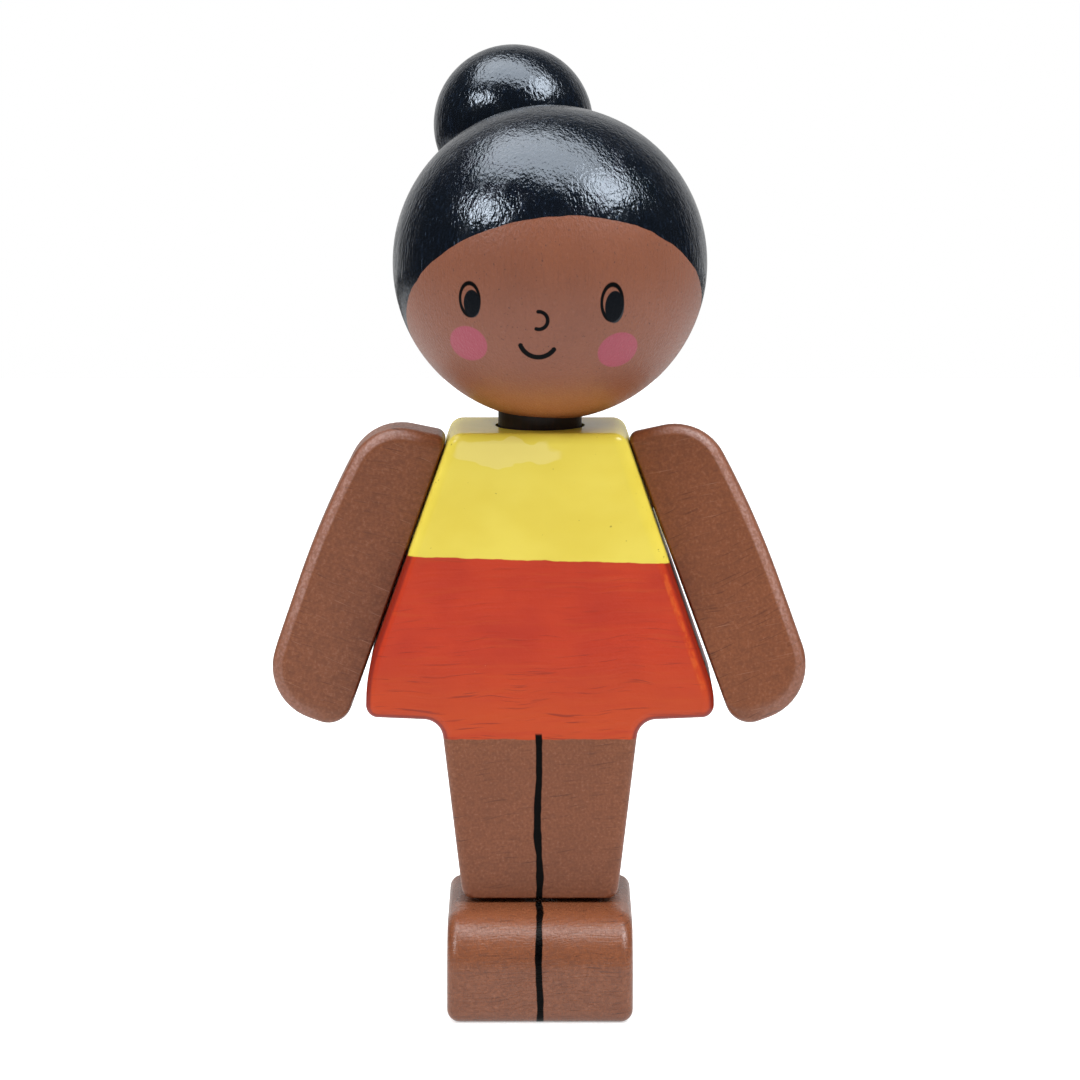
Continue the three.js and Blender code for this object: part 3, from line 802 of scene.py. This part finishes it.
def half_outline(side):
    """One side of the body board from the sole of the leg to the shoulder."""
    sign = SIGN[side]
    return [
        (sign * LEG_BOTTOM_WIDTH / 2, LEG_BOTTOM, LEG_CORNER_RADIUS),
        (sign * LEG_TOP_WIDTH / 2, HEM, CROTCH_RADIUS),
        (sign * SKIRT_WIDTH / 2, HEM + HEM_RISE, HEM_CORNER_RADIUS),
        (sign * SKIRT_WIDTH / 2, HEM + HEM_RISE + SKIRT_EDGE_HEIGHT[side], SKIRT_SIDE_RADIUS[side]),
        (sign * SHOULDER_REACH[side], BODY_TOP, SHOULDER_CORNER_RADIUS),
    ]


def make_body(finish):
    corners = half_outline("right") + half_outline("left")[::-1]
    upright = Matrix.Rotation(pi / 2, 4, "X")
    shares = [1, 1, SKIRT_EDGE_SHARE, SKIRT_EDGE_SHARE, 1, 1, 1, 1, 1, LEG_SOLE_EDGE_SHARE]
    piece = new_piece("body_board", board(corners, BOARD_THICKNESS, BOARD_EDGE_RADIUS, upright, shares),
                      "torso", "body_block", finish)
    tools = [hole(Vector((0, 0, BODY_TOP)), DOWN, NECK_RADIUS, NECK_IN_BODY, NECK_RADIUS)]
    for side in ("left", "right"):
        place = shoulder_place(side)
        outward = place.col[0].to_3d()
        peg_low, peg_high = node_box(f"{side}_shoulder_peg")
        reach = (peg_high.x - peg_low.x) / abs(outward.x)
        slant = 2 * PEG_RADIUS * abs(outward.z / outward.x)
        depth = reach - slant - PEG_IN_ARM
        tools.append(hole(place.translation, -outward, PEG_RADIUS, depth, PEG_RADIUS))
        foot_dowel = node_box(f"foot_dowel_{side}")
        middle = (foot_dowel[0] + foot_dowel[1]) / 2
        mouth = Vector((middle.x, middle.y, LEG_BOTTOM))
        tools.append(hole(mouth, UP, PEG_RADIUS, FOOT_DOWEL_DEPTH, PEG_RADIUS))
    drill(piece, *tools)


def make_foot(finish):
    corners = [
        (foot_low.y, foot_low.z, FOOT_EDGE_RADIUS),
        (foot_high.y, foot_low.z, FOOT_EDGE_RADIUS),
        (foot_high.y, foot_high.z, FOOT_EDGE_RADIUS),
        (foot_low.y, foot_high.z, TOE_RADIUS),
    ]
    sideways = Matrix(((0, 0, 1, 0), (1, 0, 0, 0), (0, 1, 0, 0), (0, 0, 0, 1)))
    piece = new_piece("foot_with_round_toe", board(corners, FOOT_WIDTH, FOOT_EDGE_RADIUS, sideways),
                      "torso", "foot_block", finish)
    tools = []
    for side in ("left", "right"):
        foot_dowel = node_box(f"foot_dowel_{side}")
        middle = (foot_dowel[0] + foot_dowel[1]) / 2
        mouth = Vector((middle.x, middle.y, foot_high.z))
        tools.append(hole(mouth, DOWN, PEG_RADIUS, FOOT_DOWEL_DEPTH, PEG_RADIUS))
    drill(piece, *tools)


def shoulder_place(side):
    """The shoulder's frame at rest: X leaves the body, Y runs down the arm, in millimetres."""
    joint = next(j for j in frame["record"]["behaviour"]["joints"] if j["name"] == f"{side}_arm_swing")
    sign = SIGN[side]
    axis = Vector(joint["axis"]).normalized()
    outward = axis if axis.x * sign > 0 else -axis
    downward = Vector((sign * outward.z, 0, -abs(outward.x)))
    downward.rotate(Matrix.Rotation(radians(ARM_REST_FORWARD_DEG[side]), 3, axis))
    across = outward.cross(downward)
    place = Matrix((outward, downward, across)).transposed().to_4x4()
    place.translation = Vector(joint["pos_m"]) / MM
    return place


def make_arm(side, finish):
    corners = [
        (-ARM_PAINT[side], -PEG_BELOW_ARM_TOP, ARM_INNER_TOP_RADIUS),
        (ARM_TOP_WIDTH, ARM_TOP_DROP - PEG_BELOW_ARM_TOP, ARM_TOP_RADIUS),
        (ARM_BELLY_WIDTH, ARM_BELLY_BELOW_TOP - PEG_BELOW_ARM_TOP, ARM_BOW_RADIUS),
        (HAND_WIDTH, ARM_LENGTH - PEG_BELOW_ARM_TOP, HAND_OUTER_RADIUS),
        (-ARM_PAINT[side], ARM_LENGTH - PEG_BELOW_ARM_TOP, HAND_INNER_RADIUS),
    ]
    place = shoulder_place(side)
    shares = [1, 1, 1, HAND_EDGE_SHARE, ARM_INNER_EDGE_SHARE]
    piece = new_piece(f"{side}_arm_board", board(corners, ARM_THICKNESS, ARM_EDGE_RADIUS, place, shares),
                      f"{side}_arm", f"{side}_arm", finish)
    drill(piece, hole(place.translation, place.col[0].to_3d(), PEG_RADIUS, PEG_IN_ARM, PEG_RADIUS))


def make_head(finish):
    builder = ball(HEAD_CENTRE, HEAD_RADIUS)
    piece = new_piece("painted_head", builder, "head", "head_ball", finish)
    neck_mouth = Vector((0, 0, HEAD_CENTRE.z - HEAD_RADIUS))
    drill(piece,
          hole(neck_mouth, UP, NECK_RADIUS, NECK_IN_HEAD, NECK_RADIUS),
          hole(BUN_SEAT, -BUN_DIRECTION, PEG_RADIUS, BUN_DOWEL_DEPTH, PEG_RADIUS))


def make_bun(finish):
    builder = ball(BUN_CENTRE, BUN_RADIUS)
    piece = new_piece("painted_bun", builder, "head", "bun_ball", finish)
    flat_height = (BUN_RADIUS ** 2 - BUN_FLAT_RADIUS ** 2) ** 0.5
    flat = BUN_CENTRE - BUN_DIRECTION * flat_height
    drill(piece,
          rod(flat, -BUN_DIRECTION, [(0, BUN_RADIUS), (BUN_RADIUS, BUN_RADIUS)]),
          hole(flat, BUN_DIRECTION, PEG_RADIUS, BUN_DOWEL_DEPTH, PEG_RADIUS))


def make_neck(finish):
    length = neck_high.z - neck_low.z
    profile = [
        (0, NECK_RADIUS - NECK_CHAMFER),
        (NECK_CHAMFER, NECK_RADIUS),
        (length - NECK_CHAMFER, NECK_RADIUS),
        (length, NECK_RADIUS - NECK_CHAMFER),
    ]
    builder = rod(Vector((0, 0, neck_low.z)), UP, profile)
    piece = new_piece("neck_rod", builder, "head", "neck_dowel", finish)
    drill(piece)


# How the grain leans across each arm, in degrees, and the seed of its noise.
ARM_GRAIN = {"left": (-14, 8), "right": (22, 21)}

bare_wood = wood_finish("bare_wood", BEECH, BEECH_PORES, WOOD_ROUGHNESS)
# The neck's finish: dark brown paint, with painted shade in its colour.
neck_paint = wood_finish("neck_paint", NECK_BROWN_AND_SHADE, NECK_PORES, NECK_ROUGHNESS)
hair_paint = hair_finish()
dowel_looks = {
    "left_shoulder_peg": bare_wood,
    "right_shoulder_peg": bare_wood,
    "foot_dowel_left": neck_paint,
    "foot_dowel_right": neck_paint,
    "bun_dowel": hair_paint,
}
for node, look in dowel_looks.items():
    slots = frame["nodes"][node].data.materials
    slots.clear()
    slots.append(look)

make_body(body_finish())
make_foot(foot_finish())
for side, (lean_deg, seed) in ARM_GRAIN.items():
    make_arm(side, arm_finish(side, lean_deg, seed))
make_head(head_finish())
make_bun(hair_paint)
make_neck(neck_paint)

# Camera: a long lens a little above the figure, fitted to the photograph's 1080 by 1080 frame.
CAMERA_DISTANCE = 520
CAMERA_RISE = radians(8.5)
LOOK_HEIGHT = 44.06
FOCAL_PIXELS = 5413
FRAME_PIXELS = 1080
SENSOR = 36

camera_data = bpy.data.cameras.new("camera")
camera_data.sensor_width = SENSOR
camera_data.lens = FOCAL_PIXELS * SENSOR / FRAME_PIXELS
camera = bpy.data.objects.new("camera", camera_data)
look_at = Vector((0, 0, LOOK_HEIGHT))
back = Vector((0, -cos(CAMERA_RISE), sin(CAMERA_RISE)))
camera.location = (look_at + back * CAMERA_DISTANCE) * MM
camera.rotation_euler = back.to_track_quat("Z", "Y").to_euler()
bpy.context.scene.collection.objects.link(camera)
bpy.context.scene.camera = camera

# Lamps: their places and sides in metres, and their power in watts.
COOL_WHITE = (0.94, 0.97, 1.0)
SOFTBOXES = {
    "overhead_softbox": ((-0.07, 0.035, 0.66), 0.46, 0.72, 4.5),
    "left_softbox": ((-0.62, -0.36, 0.62), 0.28, 0.2, 2.2),
    "right_softbox": ((0.52, -0.2, 0.78), 0.45, 0.36, 4.6),
}

# How bright the white room is: as fill light, and in gloss, where it brightens behind the figure.
ROOM_FILL = 0.63
ROOM_BEHIND = (0.6, 0.98)
ROOM_IN_GLOSS = (0.03, 0.6)

# The floor: its grey, what is added for the camera, and how it dims in gloss from near to far, in metres.
FLOOR_REACH = 0.5
FLOOR_GREY = (0.72, 0.72, 0.72, 1)
FLOOR_GLOW = (0.62, 0.62, 0.62, 1)
FLOOR_ROUGHNESS = 0.9
FLOOR_FADE = (0.12, 0.48)
FLOOR_IN_GLOSS = (1.05, 0.05)


def softbox(name, place, width, height, power):
    """An area lamp that looks at the middle of the figure."""
    lamp_data = bpy.data.lights.new(name, "AREA")
    lamp_data.shape = "RECTANGLE"
    lamp_data.size = width
    lamp_data.size_y = height
    lamp_data.energy = power
    lamp_data.color = COOL_WHITE
    lamp = bpy.data.objects.new(name, lamp_data)
    lamp.location = place
    aim = Vector(place) - look_at * MM
    lamp.rotation_euler = aim.to_track_quat("Z", "Y").to_euler()
    bpy.context.scene.collection.objects.link(lamp)


def make_floor():
    """A wide pale floor, white to the camera, that keeps the figure's shadow."""
    builder = bmesh.new()
    bmesh.ops.create_grid(builder, x_segments=1, y_segments=1, size=FLOOR_REACH)
    mesh = bpy.data.meshes.new("floor")
    builder.to_mesh(mesh)
    builder.free()
    floor = bpy.data.objects.new("floor", mesh)
    bpy.context.scene.collection.objects.link(floor)
    material = bpy.data.materials.new("floor")
    material.use_nodes = True
    tree = material.node_tree
    diffuse = tree.nodes["Principled BSDF"]
    diffuse.inputs["Base Color"].default_value = FLOOR_GREY
    diffuse.inputs["Roughness"].default_value = FLOOR_ROUGHNESS
    glow = tree.nodes.new("ShaderNodeEmission")
    path = tree.nodes.new("ShaderNodeLightPath")
    tree.links.new(path.outputs["Is Camera Ray"], glow.inputs["Strength"])
    glow.inputs["Color"].default_value = FLOOR_GLOW
    both = tree.nodes.new("ShaderNodeAddShader")
    tree.links.new(diffuse.outputs[0], both.inputs[0])
    tree.links.new(glow.outputs[0], both.inputs[1])
    mirrored = tree.nodes.new("ShaderNodeEmission")
    coords = tree.nodes.new("ShaderNodeTexCoord")
    distance = tree.nodes.new("ShaderNodeVectorMath")
    distance.operation = "LENGTH"
    tree.links.new(coords.outputs["Object"], distance.inputs[0])
    fade = tree.nodes.new("ShaderNodeMapRange")
    fade.interpolation_type = "SMOOTHSTEP"
    for socket, value in zip(fade.inputs[1:5], FLOOR_FADE + FLOOR_IN_GLOSS):
        socket.default_value = value
    tree.links.new(distance.outputs["Value"], fade.inputs[0])
    tree.links.new(fade.outputs[0], mirrored.inputs["Strength"])
    kinds = tree.nodes.new("ShaderNodeMixShader")
    tree.links.new(path.outputs["Is Glossy Ray"], kinds.inputs["Fac"])
    tree.links.new(both.outputs[0], kinds.inputs[1])
    tree.links.new(mirrored.outputs[0], kinds.inputs[2])
    tree.links.new(kinds.outputs[0], tree.nodes["Material Output"].inputs["Surface"])
    floor.data.materials.append(material)


def make_world():
    """White to the camera, an even fill for the light, and in gloss dark except behind the figure."""
    world = bpy.data.worlds.new("studio")
    bpy.context.scene.world = world
    world.use_nodes = True
    tree = world.node_tree
    background = tree.nodes["Background"]
    coords = tree.nodes.new("ShaderNodeTexCoord")
    split = tree.nodes.new("ShaderNodeSeparateXYZ")
    tree.links.new(coords.outputs["Generated"], split.inputs[0])
    room = tree.nodes.new("ShaderNodeMapRange")
    room.interpolation_type = "SMOOTHSTEP"
    for socket, value in zip(room.inputs[1:5], ROOM_BEHIND + ROOM_IN_GLOSS):
        socket.default_value = value
    tree.links.new(split.outputs["Y"], room.inputs[0])
    path = tree.nodes.new("ShaderNodeLightPath")
    reflected = tree.nodes.new("ShaderNodeMix")
    tree.links.new(path.outputs["Is Glossy Ray"], reflected.inputs[0])
    reflected.inputs[2].default_value = ROOM_FILL
    tree.links.new(room.outputs[0], reflected.inputs[3])
    seen = tree.nodes.new("ShaderNodeMix")
    tree.links.new(path.outputs["Is Camera Ray"], seen.inputs[0])
    tree.links.new(reflected.outputs[0], seen.inputs[2])
    seen.inputs[3].default_value = 1.0
    tree.links.new(seen.outputs[0], background.inputs["Strength"])
    background.inputs["Color"].default_value = (1, 1, 1, 1)


for name, settings in SOFTBOXES.items():
    softbox(name, *settings)
make_floor()
make_world()
bpy.context.scene.view_settings.view_transform = "Standard"
